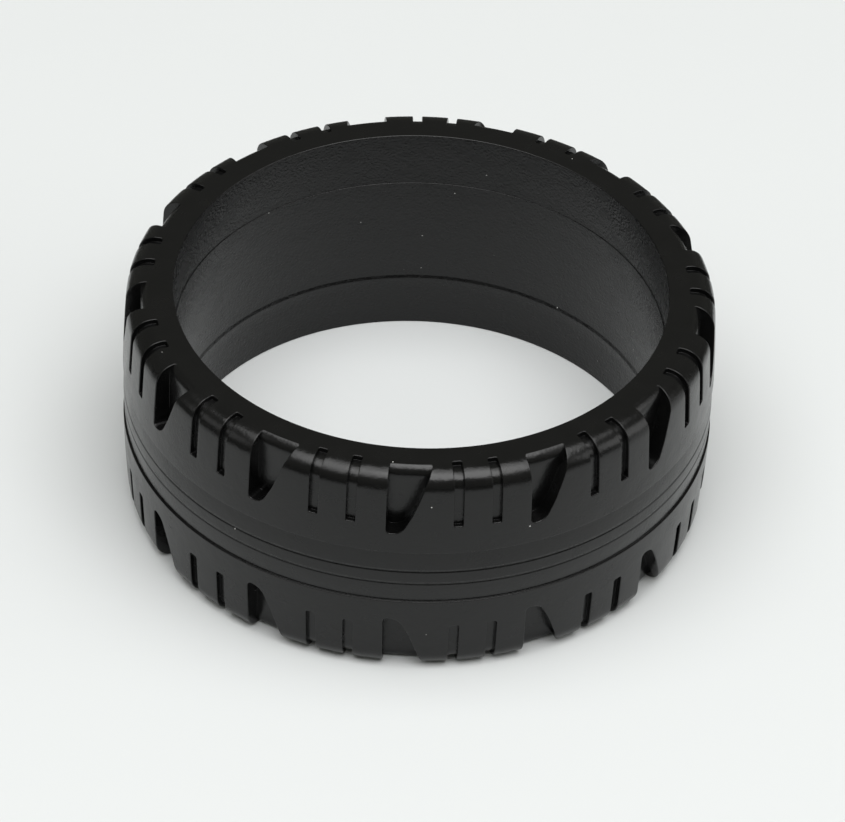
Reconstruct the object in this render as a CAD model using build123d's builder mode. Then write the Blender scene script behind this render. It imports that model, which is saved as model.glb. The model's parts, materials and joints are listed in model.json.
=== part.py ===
"""One-piece moulded tyre ring for a small on-road wheel.

The ring lies flat: its axis is +Z, it stands on its lower side face at Z = 0,
and the origin is on the axis. All lengths are in millimetres and angles in degrees.
"""

import os
from math import asin, cos, degrees, radians, sin, sqrt

from build123d import *

# ---- driving dimensions -------------------------------------------------------------

INNER_RADIUS = 26.0  # walls that sit on the wheel's rim
WIDTH = 26.0  # across the two side faces
CROWN_RADIUS = 31.33  # outside radius of the crown, carried on to the middle of the tread
CROWN_ARC = 162.0  # radius of the tread's crown, seen in section
SHOULDER_FILLET = 2.2  # rounds the crown into each side face
BORE_CHAMFER = 0.2  # on the two edges where the wheel enters

BAND_WIDTH = 13.0  # faintly raised band around the bore
BAND_HEIGHT = 0.05

RIB_WIDTH = 6.6  # sunk strip around the middle of the tread, with a crown of its own
RIB_RADIUS = 31.26  # outside radius at the middle of the strip
RIB_ARC = 30.0  # radius of the strip's crown, seen in section
LINE_OFFSETS = (-0.83, 0.83)  # fine lines around the strip, from the middle
LINE_RADIUS = 0.14  # half-round section of a fine line

REPEATS = 13  # times that the shoulder pattern repeats around the ring
FIRST_NOTCH = -4.9  # angle from -Y, towards +X, of the first notch's straight edge

NOTCH_WIDTH = 4.35  # of the open end, at the side face
NOTCH_TIP_WIDTH = 1.55  # of the closed end, before its corners are rounded
NOTCH_TIP_OFFSET = 5.8  # closed end's distance from the middle of the tread
NOTCH_TIP_FILLETS = (0.5, 1.5)  # straight side, sloping side
NOTCH_BULGE = 0.2  # how far the sloping side bows outwards
NOTCH_FLOOR_RADIUS = 29.4
NOTCH_FLOOR_FILLET = 1.2  # rounds the notch's floor over towards the side face
NOTCH_FLOOR_RISE = 0.07  # top of that rounding above the side face, so it ends in an edge

SLOT_ANGLES = (13.6, 20.95)  # from a notch's straight edge to the middle of each slot
SLOT_WIDTH = 1.0
SLOT_DEPTH = 0.55
SLOT_INNER_OFFSET = 6.8  # inner end's distance from the middle of the tread
SLOT_OUTER_RADIUS = 28.2  # radius at which a slot stops on the side face

# ---- worked out from them -----------------------------------------------------------

HALF_WIDTH = WIDTH / 2
BAND_RADIUS = INNER_RADIUS - BAND_HEIGHT
CROWN_CENTRE = CROWN_RADIUS - CROWN_ARC  # radius at which the crown's arc is centred

# Each shoulder fillet is tangent to its side face and to the crown's arc from inside.
FILLET_HEIGHT = HALF_WIDTH - SHOULDER_FILLET
FILLET_CENTRE = CROWN_CENTRE + sqrt((CROWN_ARC - SHOULDER_FILLET) ** 2 - FILLET_HEIGHT**2)
CROWN_HALF_ANGLE = degrees(asin(FILLET_HEIGHT / (CROWN_ARC - SHOULDER_FILLET)))


def crown_point(angle, inset):
    """Point of the crown's section at an angle above the middle, set in from the surface."""
    reach = CROWN_ARC - inset
    return (CROWN_CENTRE + reach * cos(radians(angle)), reach * sin(radians(angle)))


def shoulder_point(angle, inset):
    """Point of the upper shoulder's section at an angle above level, set in likewise."""
    reach = SHOULDER_FILLET - inset
    return (FILLET_CENTRE + reach * cos(radians(angle)), FILLET_HEIGHT + reach * sin(radians(angle)))


def rib_radius_at(offset):
    """Outside radius of the sunk strip at a distance from the middle."""
    return RIB_RADIUS - RIB_ARC + sqrt(RIB_ARC**2 - offset**2)


def below(point):
    """The matching point on the lower half of a section."""
    return (point[0], -point[1])


def crowned_section(inset=0.0):
    """Draw the ring's section, with its outside set in by a distance and a plain bore."""
    tangent = crown_point(CROWN_HALF_ANGLE, inset)
    shoulder = shoulder_point((CROWN_HALF_ANGLE + 90) / 2, inset)
    side = shoulder_point(90, inset)
    bore = (BAND_RADIUS, side[1])
    Line(bore, side)
    ThreePointArc(side, shoulder, tangent)
    ThreePointArc(tangent, crown_point(0, inset), below(tangent))
    ThreePointArc(below(tangent), below(shoulder), below(side))
    Line(below(side), below(bore))
    Line(below(bore), bore)


section_plane = Plane(origin=(0, 0, HALF_WIDTH), x_dir=(1, 0, 0), z_dir=(0, -1, 0))
middle_plane = Plane.XY.offset(HALF_WIDTH)

# ---- floors under the shoulder pattern -----------------------------------------------
# Solids of revolution that a cutter must leave standing, so that each floor follows the ring.

with BuildPart() as slot_floor:
    with BuildSketch(section_plane):
        with BuildLine():
            crowned_section(inset=SLOT_DEPTH)
        make_face()
    revolve(axis=Axis.Z)

with BuildPart() as notch_floor:
    with Locations(middle_plane):
        Cylinder(NOTCH_FLOOR_RADIUS, WIDTH + 2 * NOTCH_FLOOR_RISE)
    fillet(notch_floor.edges().filter_by(GeomType.CIRCLE), NOTCH_FLOOR_FILLET)

# ---- cutters for the shoulder pattern ------------------------------------------------
# One of each kind is made facing -Y on the upper shoulder, then mirrored to the lower one.

CLEARANCE = 2.0  # how far a cutter reaches past the ring
cutter_plane = section_plane.offset(CROWN_RADIUS + CLEARANCE)
cutter_top = HALF_WIDTH + CLEARANCE

with BuildPart() as notch_cutter:
    with BuildSketch(cutter_plane) as notch_outline:
        tip_left = (0, NOTCH_TIP_OFFSET)
        tip_right = (NOTCH_TIP_WIDTH, NOTCH_TIP_OFFSET)
        mouth = (NOTCH_WIDTH, HALF_WIDTH)
        with BuildLine():
            SagittaArc(tip_right, mouth, -NOTCH_BULGE)
            Polyline(mouth, (NOTCH_WIDTH, cutter_top), (0, cutter_top), tip_left, tip_right)
        make_face()
        tip_corners = notch_outline.vertices().group_by(Axis.Y)[0].sort_by(Axis.X)
        for corner, radius in zip(tip_corners, NOTCH_TIP_FILLETS):
            fillet(corner, radius)
    extrude(amount=-(CROWN_RADIUS + CLEARANCE - INNER_RADIUS))
    add(notch_floor.part, mode=Mode.SUBTRACT)
    mirror(about=middle_plane)

with BuildPart() as slot_cutter:
    with BuildSketch(cutter_plane):
        with Locations((0, SLOT_INNER_OFFSET)):
            slot_length = cutter_top - SLOT_INNER_OFFSET
            Rectangle(SLOT_WIDTH, slot_length, align=(Align.CENTER, Align.MIN))
    extrude(amount=-(CROWN_RADIUS + CLEARANCE - SLOT_OUTER_RADIUS))
    add(slot_floor.part, mode=Mode.SUBTRACT)
    mirror(about=middle_plane)

# ---- the ring -------------------------------------------------------------------------

with BuildPart() as tyre:
    with BuildSketch(section_plane):
        with BuildLine():
            crowned_section()
        make_face()
    revolve(axis=Axis.Z)

    # Both ends of the bore are opened out, which leaves the faint band between them.
    seat_depth = (WIDTH - BAND_WIDTH) / 2
    for seat_plane in (Plane.XY, Plane.XY.offset(WIDTH - seat_depth)):
        with BuildSketch(seat_plane):
            Circle(INNER_RADIUS)
        extrude(amount=seat_depth, mode=Mode.SUBTRACT)
    level_faces = tyre.faces().filter_by(Plane.XY).sort_by(Axis.Z)
    mouths = [face.edges().sort_by(SortBy.RADIUS)[0] for face in (level_faces[0], level_faces[-1])]
    chamfer(mouths, BORE_CHAMFER)

    # Sunk strip around the middle of the tread, and the fine lines on it.
    with BuildSketch(section_plane):
        with BuildLine():
            rib_edge = (rib_radius_at(RIB_WIDTH / 2), RIB_WIDTH / 2)
            rim = (CROWN_RADIUS + CLEARANCE, RIB_WIDTH / 2)
            ThreePointArc(rib_edge, (RIB_RADIUS, 0), below(rib_edge))
            Polyline(below(rib_edge), below(rim), rim, rib_edge)
        make_face()
        with Locations([(rib_radius_at(offset), offset) for offset in LINE_OFFSETS]):
            Circle(LINE_RADIUS)
    revolve(axis=Axis.Z, mode=Mode.SUBTRACT)

    # Shoulder pattern.
    with PolarLocations(0, REPEATS, start_angle=FIRST_NOTCH):
        add(notch_cutter.part, mode=Mode.SUBTRACT)
    for angle in SLOT_ANGLES:
        with PolarLocations(0, REPEATS, start_angle=FIRST_NOTCH + angle):
            add(slot_cutter.part, mode=Mode.SUBTRACT)

tyre.part.label = "tyre"

os.makedirs("parts", exist_ok=True)
export_step(tyre.part, "parts/tyre.step")
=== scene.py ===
"""Looks of the tyre ring: its finished mesh, its rubber, and a plain studio.

Lengths are in millimetres until a mesh is written, and angles in degrees. A section of the
ring is drawn in (r, h): r is the distance from the axis and h the height above the middle
of the width. The outside's upper half is built and then mirrored to the lower half, while the
bore is built over its whole height. One repeat of the pattern is built and then turned.
"""

import json
from math import asin, atan2, ceil, cos, degrees, hypot, pi, radians, sin, sqrt, tan

import bmesh
import bpy
import numpy as np
from mathutils import Matrix, Vector
from mathutils.geometry import delaunay_2d_cdt


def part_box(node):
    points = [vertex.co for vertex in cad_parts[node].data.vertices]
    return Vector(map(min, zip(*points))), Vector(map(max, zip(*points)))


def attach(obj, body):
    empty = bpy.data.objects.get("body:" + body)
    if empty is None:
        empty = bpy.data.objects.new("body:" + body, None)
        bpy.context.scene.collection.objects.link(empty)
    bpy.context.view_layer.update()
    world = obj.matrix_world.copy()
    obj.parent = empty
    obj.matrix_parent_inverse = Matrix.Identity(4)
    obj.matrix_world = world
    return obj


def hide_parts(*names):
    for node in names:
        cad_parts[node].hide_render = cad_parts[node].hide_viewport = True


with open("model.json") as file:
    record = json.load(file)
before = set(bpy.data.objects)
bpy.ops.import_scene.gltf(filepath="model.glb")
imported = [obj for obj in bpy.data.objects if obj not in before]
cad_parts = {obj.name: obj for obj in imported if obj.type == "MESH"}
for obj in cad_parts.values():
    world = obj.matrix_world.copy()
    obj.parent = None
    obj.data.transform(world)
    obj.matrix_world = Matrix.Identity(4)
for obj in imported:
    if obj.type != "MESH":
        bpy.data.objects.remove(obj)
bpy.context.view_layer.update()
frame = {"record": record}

# ---- sizes ----------------------------------------------------------------------------

MM = 0.001
LOW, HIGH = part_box("tyre")
OUTER_RADIUS = min(HIGH.x - LOW.x, HIGH.y - LOW.y) / 2 / MM  # at the edges of the sunk strip
HALF_WIDTH = (HIGH.z - LOW.z) / 2 / MM
SEAT = next(m for m in frame["record"]["mounts"] if m["name"] == "wheel_seat")
INNER_RADIUS = SEAT["dims"]["r_mm"]

CROWN_ARC = 162.0  # radius of the tread's crown, seen in section
SHOULDER_FILLET = 2.2
RIB_HALF_WIDTH = 3.3  # of the sunk strip around the middle of the tread
RIB_ARC = 30.0  # radius of the strip's own crown, seen in section
CROWN_RADIUS = OUTER_RADIUS + CROWN_ARC - sqrt(CROWN_ARC**2 - RIB_HALF_WIDTH**2)
RIB_RADIUS = CROWN_RADIUS - 0.07
RIB_FOOT = 0.04  # rounding where the strip meets the step up to the crown
LINE_OFFSET = 0.83  # from the middle to each fine line on the strip
LINE_DEPTH = 0.07
LINE_HALF_WIDTH = 0.24

BORE_ROUND = 0.12  # at both mouths
BAND_TOP = 6.6  # height of the upper edge of the faint band around the bore
BAND_HEIGHT = 0.08
BAND_LIP = 0.07  # rounding of the band's upper edge
# The soft ridge along the band's lower edge leans out and then turns back under itself.
RIDGE_START = -6.2
RIDGE = ((-6.27, 0.03), (-6.56, 0.13), (-6.64, 0.16))  # (height, how far in from the band)
RIDGE_END = -6.67  # height where it is back at the bore's wall

REPEATS = 13
PITCH = 360 / REPEATS
FIRST_NOTCH = -4.9  # from -Y towards +X

NOTCH_WIDTH = 4.35
NOTCH_TIP_OFFSET = 5.8
NOTCH_TIP_FILLET = 0.5  # at the foot of the straight side
# Corners of the sloping side, from the closed end up: (x, height, rounding).
NOTCH_SLOPE = ((1.55, 5.8, 1.5), (2.7, 8.2, 8.0), (3.55, 10.6, 8.0), (4.1, 12.4, 4.0))
NOTCH_TOP_RADIUS = 28.62  # where the notch runs out on the side face
NOTCH_TOP_CORNER = 0.25
NOTCH_FLOOR_RADIUS = 29.4
NOTCH_FLOOR_FILLET = 1.2  # rounds the notch's floor over towards the side face
NOTCH_FLOOR_TOP = HALF_WIDTH + 0.07  # height that the rounded floor would reach

SLOT_ANGLES = (13.6, 20.95)  # from a notch's straight edge to the middle of each slot
SLOT_WIDTH = 1.0
SLOT_DEPTH = 0.55
SLOT_INNER_OFFSET = 6.8
SLOT_OUTER_RADIUS = 28.2
SLOT_CORNER = 0.2

LIP = 0.10  # rounding of an edge of a cut
ROOT = 0.025  # rounding where a cut's wall meets its floor

# ---- fineness of the mesh --------------------------------------------------------------

ARC_STEPS = 3  # facets across a lip or a root
OUTLINE_STEP = 0.36  # between the points of a cut's outline
CORNER_STEP = 22.5  # most that a cut's outline turns at one point
FLOOR_STEP = 0.35  # between the points on a notch's floor
FLOOR_GAP = FLOOR_STEP * 0.55  # kept free of them inside the floor's rim
LIP_GAP = 0.3  # kept free of plain points around a cut's lip
PATTERN_START = 4.8  # height where the plain rings end and the cut shoulder begins
PATTERN_END = 27.4  # radius where plain rings begin again on the side face
SIDE_RING = 26.9  # radius of one more plain ring on the side face
CROWN_ROWS = 8  # plain rows on the crown between the cuts
TURN_ROWS = 8  # plain rows on the rounded shoulder
MOUTH_STEPS = 4  # facets across the rounding of each of the bore's mouths
COLUMNS = 24  # plain columns in one repeat
FIRST_COLUMN = -2.9  # angle from a notch's straight edge to its repeat's first column
SLIVER_AREA = 1e-5  # a group of triangles none of which is larger is empty
TOLERANCE = 1e-6  # of the triangulation
MERGE = 0.002  # points closer than this are one

# ---- the ring's outer section -----------------------------------------------------------

CROWN_CENTRE = CROWN_RADIUS - CROWN_ARC
FILLET_HEIGHT = HALF_WIDTH - SHOULDER_FILLET
FILLET_CENTRE = CROWN_CENTRE + sqrt((CROWN_ARC - SHOULDER_FILLET) ** 2 - FILLET_HEIGHT**2)
CROWN_HALF_ANGLE = degrees(asin(FILLET_HEIGHT / (CROWN_ARC - SHOULDER_FILLET)))
CROWN_LENGTH = CROWN_ARC * radians(CROWN_HALF_ANGLE)
SHOULDER_LENGTH = SHOULDER_FILLET * radians(90 - CROWN_HALF_ANGLE)


def outside(along):
    """Point and outward normal of the section, at a length along it from the middle."""
    if along < CROWN_LENGTH:
        angle = along / CROWN_ARC
        normal = (cos(angle), sin(angle))
        return (CROWN_CENTRE + CROWN_ARC * normal[0], CROWN_ARC * normal[1]), normal
    if along < CROWN_LENGTH + SHOULDER_LENGTH:
        angle = radians(CROWN_HALF_ANGLE) + (along - CROWN_LENGTH) / SHOULDER_FILLET
        normal = (cos(angle), sin(angle))
        return (
            FILLET_CENTRE + SHOULDER_FILLET * normal[0],
            FILLET_HEIGHT + SHOULDER_FILLET * normal[1],
        ), normal
    return (FILLET_CENTRE - (along - CROWN_LENGTH - SHOULDER_LENGTH), HALF_WIDTH), (0.0, 1.0)


def along_at_height(height):
    """Length along the section at a height, on the crown or the shoulder."""
    if height < CROWN_ARC * sin(radians(CROWN_HALF_ANGLE)):
        return CROWN_ARC * asin(height / CROWN_ARC)
    angle = degrees(asin((height - FILLET_HEIGHT) / SHOULDER_FILLET))
    return along_at_angle(angle)


def along_at_angle(angle):
    """Length along the section where the shoulder's normal is this far above level."""
    return CROWN_LENGTH + SHOULDER_FILLET * radians(angle - CROWN_HALF_ANGLE)


def along_at_radius(radius):
    """Length along the section at a radius on the flat side face."""
    return CROWN_LENGTH + SHOULDER_LENGTH + FILLET_CENTRE - radius


def slot_drop(along):
    """Step from the surface down to a slot's floor."""
    normal = outside(along)[1]
    return (-SLOT_DEPTH * normal[0], -SLOT_DEPTH * normal[1])


def notch_drop(along):
    """Step from the surface, square to it, in to a notch's upright floor with its rounded top."""
    (r, h), normal = outside(along)
    centre = (NOTCH_FLOOR_RADIUS - NOTCH_FLOOR_FILLET, NOTCH_FLOOR_TOP - NOTCH_FLOOR_FILLET)
    depth = 0.0
    on_wall = False
    if normal[0] > 0:
        depth = (r - NOTCH_FLOOR_RADIUS) / normal[0]
        on_wall = h - depth * normal[1] <= centre[1]
    if not on_wall:
        away = (r - centre[0], h - centre[1])
        ahead = away[0] * normal[0] + away[1] * normal[1]
        beside = hypot(*away) ** 2 - ahead**2
        depth = ahead - sqrt(max(NOTCH_FLOOR_FILLET**2 - beside, 0))
    depth = max(depth, 0.0)
    return (-depth * normal[0], -depth * normal[1])


# ---- outlines of the cuts, in (x, along): x runs around the ring ---------------------------


def rounded(corners, radii):
    """Closed outline through the corners, each rounded by its radius."""
    count = len(corners)
    runs = []
    for i, corner in enumerate(corners):
        corner = np.array(corner, float)
        to_last = np.array(corners[i - 1], float) - corner
        to_next = np.array(corners[(i + 1) % count], float) - corner
        to_last /= np.linalg.norm(to_last)
        to_next /= np.linalg.norm(to_next)
        half = np.arccos(np.clip(to_last @ to_next, -1, 1)) / 2
        back = radii[i] / tan(half)
        inwards = (to_last + to_next) / np.linalg.norm(to_last + to_next)
        middle = corner + inwards * radii[i] / sin(half)
        start = corner + to_last * back - middle
        end = corner + to_next * back - middle
        turn = atan2(start[0] * end[1] - start[1] * end[0], start @ end)
        steps = max(ceil(abs(turn) / radians(CORNER_STEP)), ceil(abs(turn) * radii[i] / OUTLINE_STEP))
        arc = []
        for k in range(steps + 1):
            a = turn * k / steps
            spun = (start[0] * cos(a) - start[1] * sin(a), start[0] * sin(a) + start[1] * cos(a))
            arc.append(middle + spun)
        runs.append(arc)
    points = []
    for i, arc in enumerate(runs):
        points.extend(arc)
        here, there = arc[-1], runs[(i + 1) % count][0]
        pieces = max(ceil(np.linalg.norm(there - here) / OUTLINE_STEP), 1)
        for k in range(1, pieces):
            points.append(here + (there - here) * k / pieces)
    return np.array(points)


def outward(outline):
    """Unit steps out of a counter-clockwise outline, lengthened so that offsets stay parallel."""
    ahead = np.roll(outline, -1, axis=0) - outline
    ahead /= np.linalg.norm(ahead, axis=1)[:, None]
    behind = np.roll(ahead, 1, axis=0)
    normal = np.stack([ahead[:, 1] + behind[:, 1], -ahead[:, 0] - behind[:, 0]], axis=1)
    return normal / (1 + np.sum(ahead * behind, axis=1))[:, None]


def slot_outline():
    """Outline of one slot, x from its middle."""
    low = along_at_height(SLOT_INNER_OFFSET)
    high = along_at_radius(SLOT_OUTER_RADIUS)
    half = SLOT_WIDTH / 2
    corners = [(-half, low), (half, low), (half, high), (-half, high)]
    return rounded(corners, [SLOT_CORNER] * 4)


def notch_outline():
    """Outline of the notch, x from its straight edge."""
    low = along_at_height(NOTCH_TIP_OFFSET)
    high = along_at_radius(NOTCH_TOP_RADIUS)
    corners = [(0, low)] + [(x, along_at_height(height)) for x, height, _ in NOTCH_SLOPE]
    corners += [(NOTCH_WIDTH, high), (0, high)]
    radii = [NOTCH_TIP_FILLET] + [radius for _, _, radius in NOTCH_SLOPE] + [NOTCH_TOP_CORNER] * 2
    return rounded(corners, radii)


# ---- mesh -----------------------------------------------------------------------------------


def cut_profile(depth):
    """(out, down) of a cut's edge, from its lip to its floor: out of the outline, and deep."""
    full = max(depth, LIP + ROOT)
    points = []
    for k in range(ARC_STEPS + 1):
        a = pi / 2 * k / ARC_STEPS
        points.append((LIP * (1 - sin(a)), LIP * (1 - cos(a))))
    for k in range(ARC_STEPS + 1):
        a = pi / 2 * k / ARC_STEPS
        points.append((-ROOT * (1 - cos(a)), full - ROOT * (1 - sin(a))))
    return [(out, down * depth / full) for out, down in points]


class RingMesh:
    """Gathers the points and faces of a part of one repeat, with h as its height."""

    def __init__(self):
        self.points = []
        self.faces = []
        self.bore = []  # whether each face is in the bore

    def add(self, r, angle, h):
        """Add a point at an angle from -Y, towards +X, and return its number."""
        a = radians(angle)
        self.points.append((r * sin(a), -r * cos(a), h))
        return len(self.points) - 1

    def face(self, numbers, bore=False):
        """Add a face through points, by their numbers."""
        self.faces.append(tuple(numbers))
        self.bore.append(bore)


def surface_point(mesh, centre, x, along, drop=(0.0, 0.0), share=0.0):
    """Add the point x around from a cut's own angle, let down a share of a drop."""
    (r, h), _ = outside(along)
    r += drop[0] * share
    h += drop[1] * share
    return mesh.add(r, centre + degrees(asin(x / r)), h)


def inside(point, outline):
    """Whether a point is inside a closed outline, by crossings."""
    x, y = point
    a, b = outline, np.roll(outline, -1, axis=0)
    straddles = (a[:, 1] > y) != (b[:, 1] > y)
    rise = np.where(straddles, b[:, 1] - a[:, 1], 1.0)
    crossing = a[:, 0] + (y - a[:, 1]) / rise * (b[:, 0] - a[:, 0])
    return bool(np.sum(straddles & (crossing > x)) % 2)


def triangulate(points, edges):
    """Triangles over the points' hull, in groups that no edge crosses.

    Returns the middle of each group's largest triangle and the group's triangles, which are
    counter-clockwise. Groups of empty slivers along the hull are left out.
    """
    result = delaunay_2d_cdt([Vector(p) for p in points], edges, [], 0, TOLERANCE)
    _, _, faces, origins, _, _ = result
    triangles = [tuple(origins[v][0] for v in face) for face in faces]
    fixed = {frozenset(edge) for edge in edges}
    beside = {}
    for i, triangle in enumerate(triangles):
        for side in loop_edges(list(triangle)):
            if frozenset(side) not in fixed:
                beside.setdefault(frozenset(side), []).append(i)
    neighbours = [[] for _ in triangles]
    for pair in beside.values():
        if len(pair) == 2:
            neighbours[pair[0]].append(pair[1])
            neighbours[pair[1]].append(pair[0])

    def area(triangle):
        (ax, ay), (bx, by), (cx, cy) = (points[v] for v in triangle)
        return abs((bx - ax) * (cy - ay) - (by - ay) * (cx - ax)) / 2

    groups = []
    seen = set()
    for start in range(len(triangles)):
        if start in seen:
            continue
        seen.add(start)
        group, waiting = [], [start]
        while waiting:
            i = waiting.pop()
            group.append(triangles[i])
            fresh = [n for n in neighbours[i] if n not in seen]
            seen.update(fresh)
            waiting += fresh
        largest = max(group, key=area)
        if area(largest) > SLIVER_AREA:
            groups.append((np.mean([points[v] for v in largest], axis=0), group))
    return groups


def loop_edges(numbers):
    """Pairs of neighbours around a closed loop."""
    return [(a, b) for a, b in zip(numbers, numbers[1:] + numbers[:1])]


def add_cut(mesh, centre, outline, drop_at, fine_floor):
    """Add one cut's lip, walls, root and floor. Returns its lip: point numbers and outline."""
    steps_out = outward(outline)
    loops = []
    flat_loops = []
    for j in range(2 * (ARC_STEPS + 1)):
        numbers = []
        flat = []
        for (x, along), (dx, dalong) in zip(outline, steps_out):
            drop = drop_at(along)
            depth = hypot(*drop)
            out, down = cut_profile(depth)[j]
            place = (x + dx * out, along + dalong * out)
            share = down / depth if depth > 0 else 0.0
            numbers.append(surface_point(mesh, centre, *place, drop_at(place[1]), share))
            flat.append(place)
        loops.append(numbers)
        flat_loops.append(flat)
    for outer, inner in zip(loops, loops[1:]):
        for k in range(len(outer)):
            m = (k + 1) % len(outer)
            mesh.face((outer[k], outer[m], inner[m], inner[k]))

    rim = np.array(flat_loops[-1])
    flat = [tuple(p) for p in rim]
    numbers = list(loops[-1])
    if fine_floor:
        low, high = rim.min(axis=0), rim.max(axis=0)
        for along in np.arange(low[1] + FLOOR_STEP, high[1], FLOOR_STEP):
            for x in np.arange(low[0] + FLOOR_STEP, high[0], FLOOR_STEP):
                gap = np.min(np.hypot(rim[:, 0] - x, rim[:, 1] - along))
                if gap > FLOOR_GAP and inside((x, along), rim):
                    flat.append((x, along))
                    numbers.append(surface_point(mesh, centre, x, along, drop_at(along), 1.0))
    for middle, triangles in triangulate(flat, loop_edges(list(range(len(rim))))):
        if inside(middle, rim):
            for triangle in triangles:
                mesh.face([numbers[v] for v in triangle])
    return loops[0], flat_loops[0]


def evenly(start, end, steps):
    """Evenly spaced values from start to end, without the first."""
    return list(np.linspace(start, end, steps + 1)[1:])


def shoulder_rows():
    """Lengths along the section of the plain rows that cross the cut shoulder."""
    crown = np.linspace(along_at_height(PATTERN_START), CROWN_LENGTH, CROWN_ROWS)
    turn = [along_at_angle(a) for a in evenly(CROWN_HALF_ANGLE, 90, steps=TURN_ROWS)]
    return list(crown) + turn + [along_at_radius(PATTERN_END)]


def add_shoulder(mesh, columns):
    """Add the cut shoulder of one repeat, between two plain rings."""
    cuts = [(0.0, notch_outline(), notch_drop, True)]
    cuts += [(angle, slot_outline(), slot_drop, False) for angle in SLOT_ANGLES]
    flat, numbers, edges, rims = [], [], [], []

    def flat_place(angle, along):
        return (radians(angle) * CROWN_RADIUS, along)

    for centre, outline, drop_at, fine_floor in cuts:
        lip, lip_places = add_cut(mesh, centre, outline, drop_at, fine_floor)
        first = len(flat)
        for (x, along), number in zip(lip_places, lip):
            r = outside(along)[0][0]
            flat.append(flat_place(centre + degrees(asin(x / r)), along))
            numbers.append(number)
        edges += loop_edges(list(range(first, len(flat))))
        rims.append(np.array(flat[first:]))

    rows = shoulder_rows()
    border = {}
    for i, along in enumerate(rows):
        for j, angle in enumerate(columns):
            place = flat_place(angle, along)
            on_border = i in (0, len(rows) - 1) or j in (0, len(columns) - 1)
            close = any(np.min(np.hypot(*(rim - place).T)) < LIP_GAP for rim in rims)
            if on_border or not (close or any(inside(place, rim) for rim in rims)):
                if on_border:
                    border[i, j] = len(flat)
                flat.append(place)
                (r, h), _ = outside(along)
                numbers.append(mesh.add(r, angle, h))
    for (i, j), number in border.items():
        if i in (0, len(rows) - 1) and (i, j + 1) in border:
            edges.append((number, border[i, j + 1]))
        if j in (0, len(columns) - 1) and (i + 1, j) in border:
            edges.append((number, border[i + 1, j]))
    for middle, triangles in triangulate(flat, edges):
        if not any(inside(middle, rim) for rim in rims):
            for triangle in triangles:
                mesh.face([numbers[v] for v in triangle])


def add_rings(mesh, section, columns, is_bore=lambda ring: False):
    """Add plain rings through a section's (r, h) points, and say which of them are the bore's."""
    rows = [[mesh.add(r, angle, h) for angle in columns] for r, h in section]
    for i, (row, after) in enumerate(zip(rows, rows[1:])):
        for k in range(len(columns) - 1):
            mesh.face((row[k], row[k + 1], after[k + 1], after[k]), is_bore(i))


def arc_points(centre, radius, start, end, steps):
    """Points of an arc in a section, without its first."""
    points = []
    for k in range(1, steps + 1):
        a = radians(start + (end - start) * k / steps)
        points.append((centre[0] + radius * cos(a), centre[1] + radius * sin(a)))
    return points


def rib_point(height):
    """Surface of the sunk strip at a height, with its fine line."""
    r = RIB_RADIUS - RIB_ARC + sqrt(RIB_ARC**2 - height**2)
    away = abs(height - LINE_OFFSET) / LINE_HALF_WIDTH
    if away < 1:
        r -= LINE_DEPTH * (0.5 + 0.5 * cos(pi * away))
    return (r, height)


def tread_section():
    """The middle of the tread: the strip with its fine line, and the step up to the crown."""
    line_start, line_end = LINE_OFFSET - LINE_HALF_WIDTH, LINE_OFFSET + LINE_HALF_WIDTH
    heights = [0.0] + evenly(0, line_start, steps=2)
    heights += evenly(line_start, line_end, steps=10)
    heights += evenly(line_end, RIB_HALF_WIDTH - 2 * RIB_FOOT, steps=5)
    points = [rib_point(h) for h in heights]
    low = points[-1][0]
    high = outside(RIB_HALF_WIDTH + LIP)[0][0]
    points += arc_points((low + RIB_FOOT, RIB_HALF_WIDTH - RIB_FOOT), RIB_FOOT, 180, 90, steps=2)
    points += arc_points((high - LIP, RIB_HALF_WIDTH + LIP), LIP, -90, 0, steps=4)
    for along in evenly(RIB_HALF_WIDTH + LIP, along_at_height(PATTERN_START), steps=3):
        points.append(outside(along)[0])
    return points


def bore_section():
    """From the upper side face, over the bore's edges and down its whole height."""
    edge = INNER_RADIUS + BORE_ROUND
    corner = HALF_WIDTH - BORE_ROUND
    band = INNER_RADIUS - BAND_HEIGHT
    points = [(PATTERN_END, HALF_WIDTH), (SIDE_RING, HALF_WIDTH), (edge, HALF_WIDTH)]
    points += arc_points((edge, corner), BORE_ROUND, 90, 180, MOUTH_STEPS)
    points += [(INNER_RADIUS, h) for h in evenly(corner, BAND_TOP, steps=4)]
    points += arc_points((band + BAND_LIP, BAND_TOP - BAND_LIP), BAND_LIP, 90, 180, steps=3)
    points += [(band, h) for h in evenly(BAND_TOP - BAND_LIP, RIDGE_START, steps=8)]
    points += [(band - inwards, h) for h, inwards in RIDGE]
    points += [(INNER_RADIUS, h) for h in [RIDGE_END] + evenly(RIDGE_END, -corner, steps=4)]
    points += arc_points((edge, -corner), BORE_ROUND, 180, 270, MOUTH_STEPS)
    return points + [(SIDE_RING, -HALF_WIDTH), (PATTERN_END, -HALF_WIDTH)]


def in_bore(ring):
    """Whether a ring of bore_section() is the bore's, which starts halfway across each mouth."""
    rings = len(bore_section()) - 1
    start = 2 + MOUTH_STEPS // 2  # past the side face's two rings
    return start <= ring < rings - start


def smooth_normals(mesh):
    """Shade smoothly, each corner by the area of its faces, so that flats stay flat."""
    mesh.polygons.foreach_set("use_smooth", [True] * len(mesh.polygons))
    normals = np.zeros((len(mesh.vertices), 3))
    for polygon in mesh.polygons:
        weighted = np.array(polygon.normal) * polygon.area
        for v in polygon.vertices:
            normals[v] += weighted
    normals /= np.linalg.norm(normals, axis=1)[:, None]
    mesh.normals_split_custom_set_from_vertices([Vector(n) for n in normals])


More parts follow.
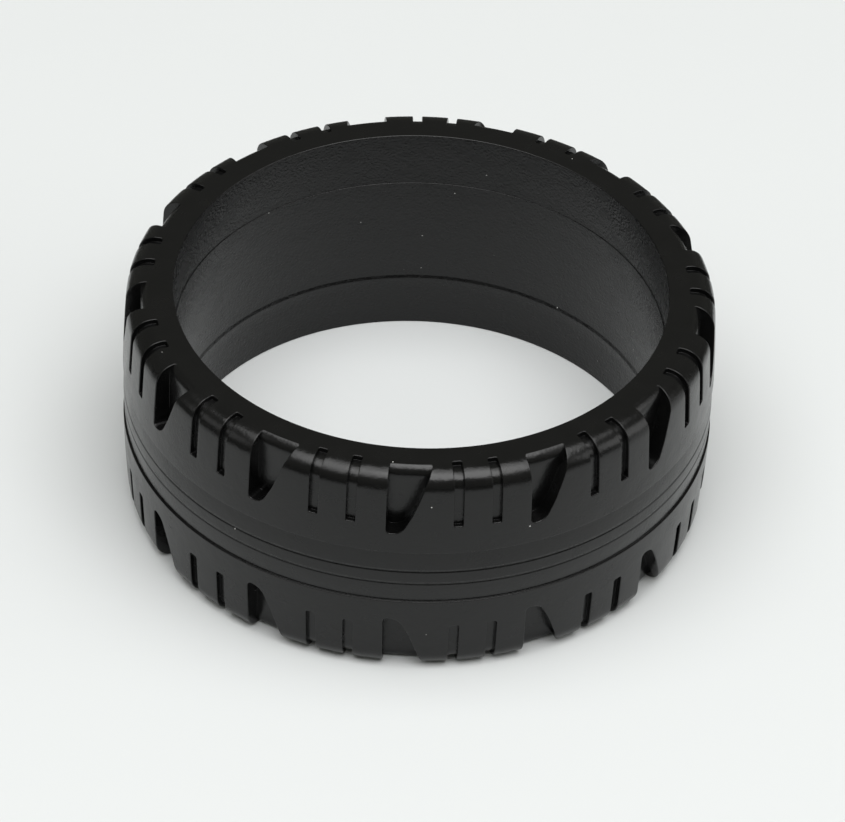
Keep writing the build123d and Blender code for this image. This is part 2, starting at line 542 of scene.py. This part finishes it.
def build_tyre():
    """The whole ring as one closed mesh."""
    half_repeat, core = RingMesh(), RingMesh()
    columns = [FIRST_COLUMN + PITCH * k / COLUMNS for k in range(COLUMNS + 1)]
    add_rings(half_repeat, tread_section(), columns)
    add_shoulder(half_repeat, columns)
    add_rings(core, bore_section(), columns, in_bore)

    points, faces, bore = [], [], []
    for k in range(REPEATS):
        a = radians(FIRST_NOTCH + PITCH * k)
        turn = np.array([[cos(a), sin(a), 0], [-sin(a), cos(a), 0], [0, 0, 1]])
        for part, flip in ((half_repeat, 1), (half_repeat, -1), (core, 1)):
            first = sum(len(p) for p in points)
            points.append(np.array(part.points) @ turn * (1, 1, flip))
            faces += [[first + v for v in face][::flip] for face in part.faces]
            bore += part.bore
    points = np.concatenate(points) + (0, 0, HALF_WIDTH)

    mesh = bpy.data.meshes.new("tyre_ring")
    mesh.from_pydata([tuple(p * MM) for p in points], [], faces)
    mesh.polygons.foreach_set("material_index", [int(b) for b in bore])
    work = bmesh.new()
    work.from_mesh(mesh)
    bmesh.ops.remove_doubles(work, verts=work.verts, dist=MERGE * MM)
    work.to_mesh(mesh)
    work.free()
    smooth_normals(mesh)
    ring = bpy.data.objects.new("tyre_ring", mesh)
    bpy.context.scene.collection.objects.link(ring)
    return ring


# ---- materials ------------------------------------------------------------------------------


def new_material(name, colour, roughness):
    """A new material of one colour and roughness, and its shader."""
    material = bpy.data.materials.new(name)
    material.use_nodes = True
    shader = material.node_tree.nodes["Principled BSDF"]
    shader.inputs["Base Color"].default_value = (*colour, 1)
    shader.inputs["Roughness"].default_value = roughness
    return material, shader


def add_node(material, kind, **settings):
    """Add a node with some settings, each of a property or of an input of that name."""
    node = material.node_tree.nodes.new(kind)
    for name, value in settings.items():
        if hasattr(node, name):
            setattr(node, name, value)
        else:
            node.inputs[name].default_value = value
    return node


def noise(material, per_mm, detail=2.0, stretch=(1, 1, 1)):
    """Noise over the object's own coordinates, with so many features to the millimetre."""
    place = add_node(material, "ShaderNodeTexCoord").outputs["Object"]
    scaled = add_node(material, "ShaderNodeMapping", Scale=stretch)
    texture = add_node(material, "ShaderNodeTexNoise", Scale=per_mm / MM, Detail=detail)
    material.node_tree.links.new(place, scaled.inputs["Vector"])
    material.node_tree.links.new(scaled.outputs["Vector"], texture.inputs["Vector"])
    return texture.outputs["Fac"]


def spread(material, value, low, high, start=0.3, end=0.7):
    """A value from low to high as the input goes from start to end."""
    node = add_node(material, "ShaderNodeMapRange")
    numbers = (start, end, low, high)
    for name, number in zip(("From Min", "From Max", "To Min", "To Max"), numbers):
        node.inputs[name].default_value = number
    material.node_tree.links.new(value, node.inputs["Value"])
    return node.outputs["Result"]


def add_bump(material, shader, value, height):
    """Raise the surface by a height in millimetres where the value is 1, over earlier bumps."""
    bump = add_node(material, "ShaderNodeBump", Strength=1.0, Distance=height * MM)
    links = material.node_tree.links
    links.new(value, bump.inputs["Height"])
    if shader.inputs["Normal"].is_linked:
        links.new(shader.inputs["Normal"].links[0].from_socket, bump.inputs["Normal"])
    links.new(bump.outputs["Normal"], shader.inputs["Normal"])


def add_dust(material, shader, rubber, per_mm, size):
    """Sparse pale specks, up to a size in millimetres: one in some of the cells of a grid."""
    links = material.node_tree.links
    place = add_node(material, "ShaderNodeTexCoord").outputs["Object"]
    cells = add_node(material, "ShaderNodeTexVoronoi", Scale=per_mm / MM)
    links.new(place, cells.inputs["Vector"])
    parts = add_node(material, "ShaderNodeSeparateColor")
    links.new(cells.outputs["Color"], parts.inputs["Color"])
    reach = spread(material, parts.outputs["Red"], 0.0, size * per_mm, start=0.6, end=1.0)
    speck = add_node(material, "ShaderNodeMath", operation="LESS_THAN")
    links.new(cells.outputs["Distance"], speck.inputs[0])
    links.new(reach, speck.inputs[1])
    mix = add_node(material, "ShaderNodeMix", data_type="RGBA")
    mix.inputs["A"].default_value = (*rubber, 1)
    mix.inputs["B"].default_value = (*DUST_COLOUR, 1)
    links.new(speck.outputs["Value"], mix.inputs["Factor"])
    links.new(mix.outputs["Result"], shader.inputs["Base Color"])


TREAD_COLOUR = (0.003, 0.003, 0.003)
TREAD_IOR = 1.4
BORE_COLOUR = (0.005, 0.005, 0.005)
BORE_IOR = 1.39
DUST_COLOUR = (0.5, 0.5, 0.48)


def make_tread_rubber():
    """Smooth moulded black rubber, faintly uneven, with a fine grain and a little dust."""
    material, shader = new_material("tread_rubber", TREAD_COLOUR, 0.24)
    shader.inputs["IOR"].default_value = TREAD_IOR
    cloud = noise(material, per_mm=0.35, detail=3.0)
    roughness = spread(material, cloud, 0.2, 0.29)
    material.node_tree.links.new(roughness, shader.inputs["Roughness"])
    add_bump(material, shader, noise(material, per_mm=3.5, detail=3.0), height=0.018)
    add_bump(material, shader, noise(material, per_mm=0.5), height=0.035)
    add_dust(material, shader, TREAD_COLOUR, per_mm=0.5, size=0.09)
    return material


def make_bore_rubber():
    """The bore's rubber: slightly rougher, with a deeper grain."""
    material, shader = new_material("bore_rubber", BORE_COLOUR, 0.26)
    shader.inputs["IOR"].default_value = BORE_IOR
    cloud = noise(material, per_mm=0.3, detail=3.0, stretch=(1, 1, 2))
    roughness = spread(material, cloud, 0.22, 0.3)
    material.node_tree.links.new(roughness, shader.inputs["Roughness"])
    add_bump(material, shader, noise(material, per_mm=3.5, detail=3.0), height=0.05)
    add_bump(material, shader, noise(material, per_mm=0.8), height=0.03)
    add_dust(material, shader, BORE_COLOUR, per_mm=0.6, size=0.08)
    return material


ring = build_tyre()
ring.data.materials.append(make_tread_rubber())
ring.data.materials.append(make_bore_rubber())
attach(ring, "root")
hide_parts("tyre")

# ---- studio -----------------------------------------------------------------------------------

FLOOR_SIZE = 4.0  # metres
FLOOR_COLOUR = (0.638, 0.654, 0.654)
WORLD_COLOUR = (0.19, 0.192, 0.172)
LIGHT_DISTANCE = 1.0  # metres
# Name, azimuth from -Y towards +X, elevation, size in metres, radiance.
LIGHTS = (
    ("wide_window", 5, 78, (1.3, 1.06), 2.8),
    ("right_window", 32, 68, (0.6, 0.6), 2.3),
    ("left_window", -40, 68, (0.5, 0.5), 1.2),
    ("low_right", 80, 18, (0.6, 0.6), 1.9),
    ("low_left", -75, 25, (0.4, 0.4), 0.9),
)
FENCE_RADIUS = 0.105  # metres, as are the next two
FENCE_HEIGHT = 0.036
FENCE_CENTRE_Y = -0.02
FENCE_ENDS = (20, 350)  # angles from +X, counter-clockwise: it is open on the right
# Painted reflection: the fence's dark colour is seen only in the rubber's gloss, as the dim room's
# dark band under the shoulder's highlight.
FENCE_PAINTED_REFLECTION_COLOUR = (0.14, 0.14, 0.13)
FENCE_STEPS = 64


def white_floor():
    """The white paper that the ring lies on."""
    bpy.ops.mesh.primitive_plane_add(size=FLOOR_SIZE)
    floor = bpy.context.object
    floor.name = "floor"
    material, _ = new_material("floor_paper", FLOOR_COLOUR, 0.9)
    floor.data.materials.append(material)


def area_light(name, azimuth, elevation, size, radiance):
    """A soft light, out along a direction from the ring and facing it."""
    data = bpy.data.lights.new(name, "AREA")
    data.shape = "RECTANGLE"
    data.size, data.size_y = size
    data.energy = radiance * pi * size[0] * size[1]
    light = bpy.data.objects.new(name, data)
    a, level = radians(azimuth), cos(radians(elevation))
    towards = Vector((sin(a) * level, -cos(a) * level, sin(radians(elevation)))).normalized()
    light.location = towards * LIGHT_DISTANCE + Vector((0, 0, HALF_WIDTH * MM))
    light.rotation_euler = towards.to_track_quat("Z", "Y").to_euler()
    bpy.context.scene.collection.objects.link(light)


def dark_fence():
    """A low dark card round the back and front, which only the gloss sees: a painted dark reflection
    standing in for the dim room, which darkens the band under the shoulder's highlight.
    """
    start, end = FENCE_ENDS
    corners = []
    for k in range(FENCE_STEPS + 1):
        a = radians(start + (end - start) * k / FENCE_STEPS)
        x, y = FENCE_RADIUS * cos(a), FENCE_RADIUS * sin(a) + FENCE_CENTRE_Y
        corners += [(x, y, 0.0), (x, y, FENCE_HEIGHT)]
    faces = [(2 * k, 2 * k + 1, 2 * k + 3, 2 * k + 2) for k in range(FENCE_STEPS)]
    mesh = bpy.data.meshes.new("dark_fence")
    mesh.from_pydata(corners, [], faces)
    fence = bpy.data.objects.new("dark_fence", mesh)
    bpy.context.scene.collection.objects.link(fence)
    material, _ = new_material("fence_painted_reflection_card", FENCE_PAINTED_REFLECTION_COLOUR, 1.0)
    mesh.materials.append(material)
    fence.visible_camera = False
    fence.visible_diffuse = False
    fence.visible_shadow = False


white_floor()
for settings in LIGHTS:
    area_light(*settings)
dark_fence()

world = bpy.data.worlds.new("studio")
world.use_nodes = True
world.node_tree.nodes["Background"].inputs["Color"].default_value = (*WORLD_COLOUR, 1)
bpy.context.scene.world = world
bpy.context.scene.view_settings.view_transform = "Standard"

# ---- camera -------------------------------------------------------------------------------------

CAMERA_ELEVATION = 40.18
CAMERA_ROLL = 2.18
CAMERA_DISTANCE = 566.7
CAMERA_LENS = 227.05
SENSOR_WIDTH = 36
# How far the view's axis passes from the ring's centre, to the right and up in the picture.
CAMERA_ASIDE = (0.490, -3.145)

elevation, roll = radians(CAMERA_ELEVATION), radians(CAMERA_ROLL)
forward = Vector((0, cos(elevation), -sin(elevation)))
level_right = Vector((1, 0, 0))
level_up = level_right.cross(forward)
picture_right = level_right * cos(roll) + level_up * sin(roll)
picture_up = level_up * cos(roll) - level_right * sin(roll)
camera_data = bpy.data.cameras.new("camera")
camera_data.lens = CAMERA_LENS
camera_data.sensor_width = SENSOR_WIDTH
camera = bpy.data.objects.new("camera", camera_data)
aside = picture_right * CAMERA_ASIDE[0] + picture_up * CAMERA_ASIDE[1]
place = aside - forward * CAMERA_DISTANCE + Vector((0, 0, HALF_WIDTH))
turn = Matrix((picture_right, picture_up, -forward)).transposed()
camera.matrix_world = Matrix.Translation(place * MM) @ turn.to_4x4()
bpy.context.scene.collection.objects.link(camera)
bpy.context.scene.camera = camera
